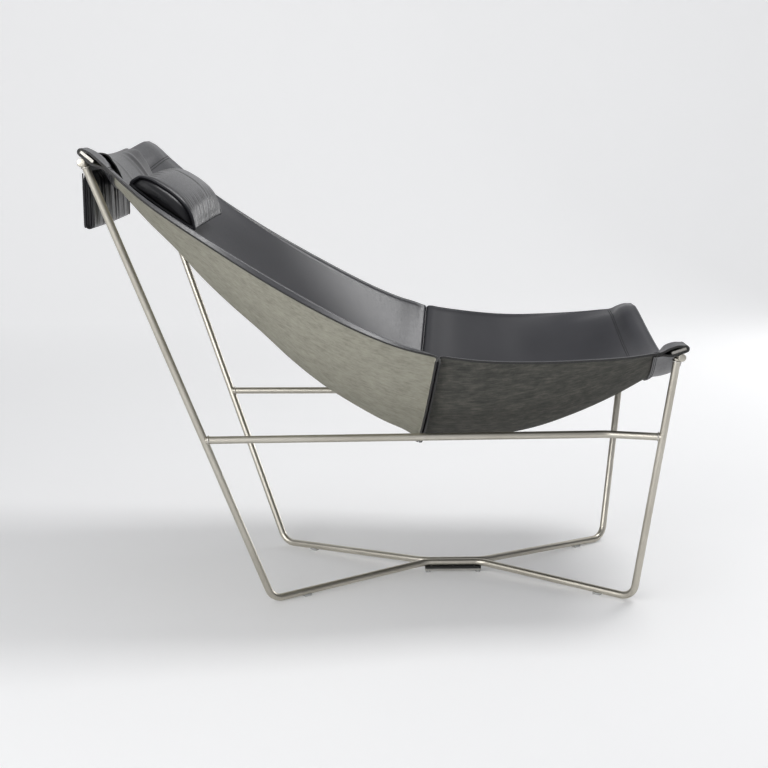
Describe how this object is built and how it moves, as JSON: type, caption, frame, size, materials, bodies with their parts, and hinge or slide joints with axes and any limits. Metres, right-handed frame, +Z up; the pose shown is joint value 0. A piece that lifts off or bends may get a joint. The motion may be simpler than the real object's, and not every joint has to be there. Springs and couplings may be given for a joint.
{
  "type": "sling lounge chair",
  "caption": "Leather sling lounge chair: hammock back and seat hung between two flat bars on a bent steel rod frame, with a counterweighted neck cushion on a strap.",
  "frame": {"origin": "on the floor, under the middle of the whole chair", "axes": "+Z up, +Y from the front edge toward the head, X across the chair"},
  "size_m": [0.7082, 1.016, 0.7863],
  "materials": {
    "nickel_steel": "matt nickel plating, fine drawn grain",
    "plain_steel": "satin steel",
    "black_leather": "smooth black saddle leather, suede reverse",
    "black_rubber": "matt",
    "clear_plastic": "clear, slightly cloudy",
    "foam": "open cell foam"
  },
  "bodies": {
    "chair": {"side_frame_left": "nickel_steel", "side_frame_right": "nickel_steel", "side_rail_left": "nickel_steel", "side_rail_right": "nickel_steel", "head_stub_left": "nickel_steel", "head_stub_right": "nickel_steel", "front_stub_left": "nickel_steel", "front_stub_right": "nickel_steel", "head_bar_screw_left": "plain_steel", "head_bar_screw_right": "plain_steel", "front_bar_screw_left": "plain_steel", "front_bar_screw_right": "plain_steel", "base_screw_left_1": "plain_steel", "base_screw_left_2": "plain_steel", "base_screw_left_3": "plain_steel", "base_screw_right_1": "plain_steel", "base_screw_right_2": "plain_steel", "base_screw_right_3": "plain_steel", "plate_glide_rear_left": "clear_plastic", "plate_glide_rear_right": "clear_plastic", "plate_glide_front_left": "clear_plastic", "plate_glide_front_right": "clear_plastic", "floor_glide_rear_left": "clear_plastic", "floor_glide_rear_right": "clear_plastic", "floor_glide_front_left": "clear_plastic", "floor_glide_front_right": "clear_plastic", "head_flat_bar": "plain_steel", "front_flat_bar": "plain_steel", "base_plate": "plain_steel", "base_pad": "black_rubber", "back_panel": "black_leather", "seat_panel": "black_leather", "neck_strap": "black_leather"},
    "cushion": {"neck_cushion_cover": "black_leather", "neck_cushion_foam": "foam"},
    "weight": {"counterweight_pouch": "black_leather", "counterweight_bar": "plain_steel"}
  },
  "joints": [
    {"name": "weight_slide", "type": "slide", "parent": "chair", "child": "weight", "axis": [0, 0, -1], "range_m": [0, 0.028]},
    {"name": "cushion_slide", "type": "slide", "parent": "chair", "child": "cushion", "axis": [0, 0.809, 0.5878], "range_m": [0, 0.028]}
  ],
  "couplings": [
    {"joint": "cushion_slide", "follows": "weight_slide", "ratio": 1}
  ]
}
